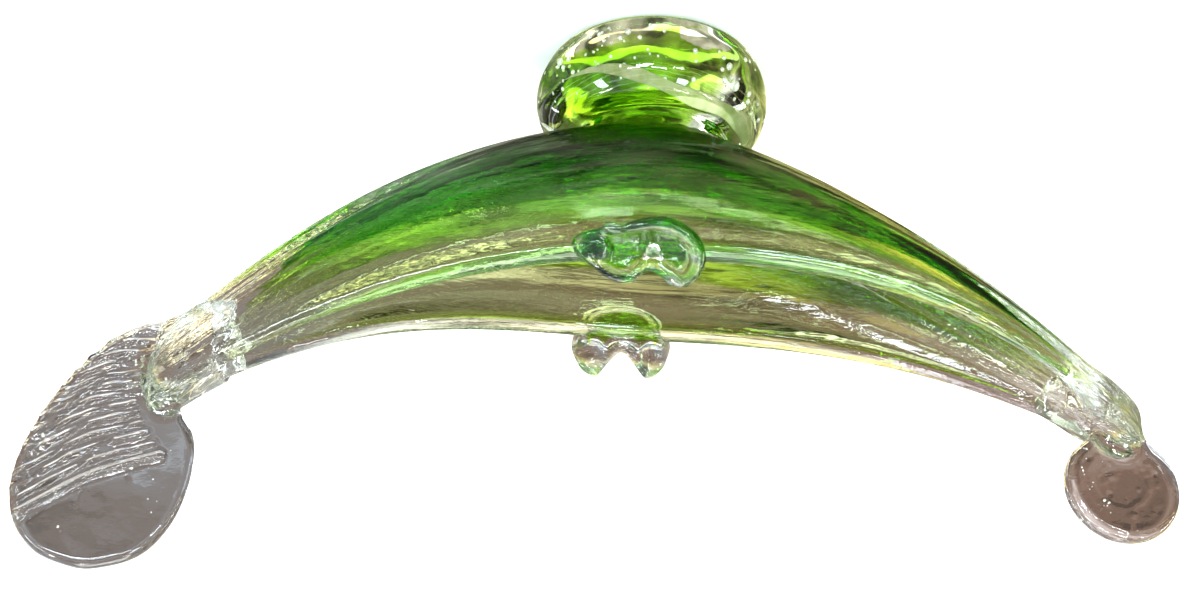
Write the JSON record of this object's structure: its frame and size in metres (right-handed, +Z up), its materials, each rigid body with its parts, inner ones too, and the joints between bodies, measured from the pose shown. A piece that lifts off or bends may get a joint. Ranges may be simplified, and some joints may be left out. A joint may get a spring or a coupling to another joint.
{
  "type": "boat-shaped glass flower bowl",
  "caption": "Boat-shaped flower bowl of thick cased glass, green inside, with a barrel foot, curled lips on its rims and pressed clear finials on its upswept ends.",
  "frame": {"origin": "middle of the foot's flat underside, on the table", "axes": "+Z up, +X along the bowl to the ribbed finial, -Y towards the front"},
  "size_m": [0.3742, 0.0976, 0.1865],
  "materials": {
    "clear_glass": "fire-polished, clear and colourless",
    "green_glass": "transparent grass green, polished",
    "seeded_glass": "clear with small bubbles, fire-polished",
    "pressed_glass": "clear, tool-marked and lightly scratched",
    "curled_glass": "clear with a faint green tint, fire-polished"
  },
  "bodies": {
    "root": {"clear_casing": "clear_glass", "green_lining": "green_glass", "foot": "seeded_glass", "ribbed_finial": "pressed_glass", "plain_finial": "pressed_glass", "front_lip_curl": "curled_glass", "rear_lip_curl": "curled_glass"}
  },
  "joints": []
}
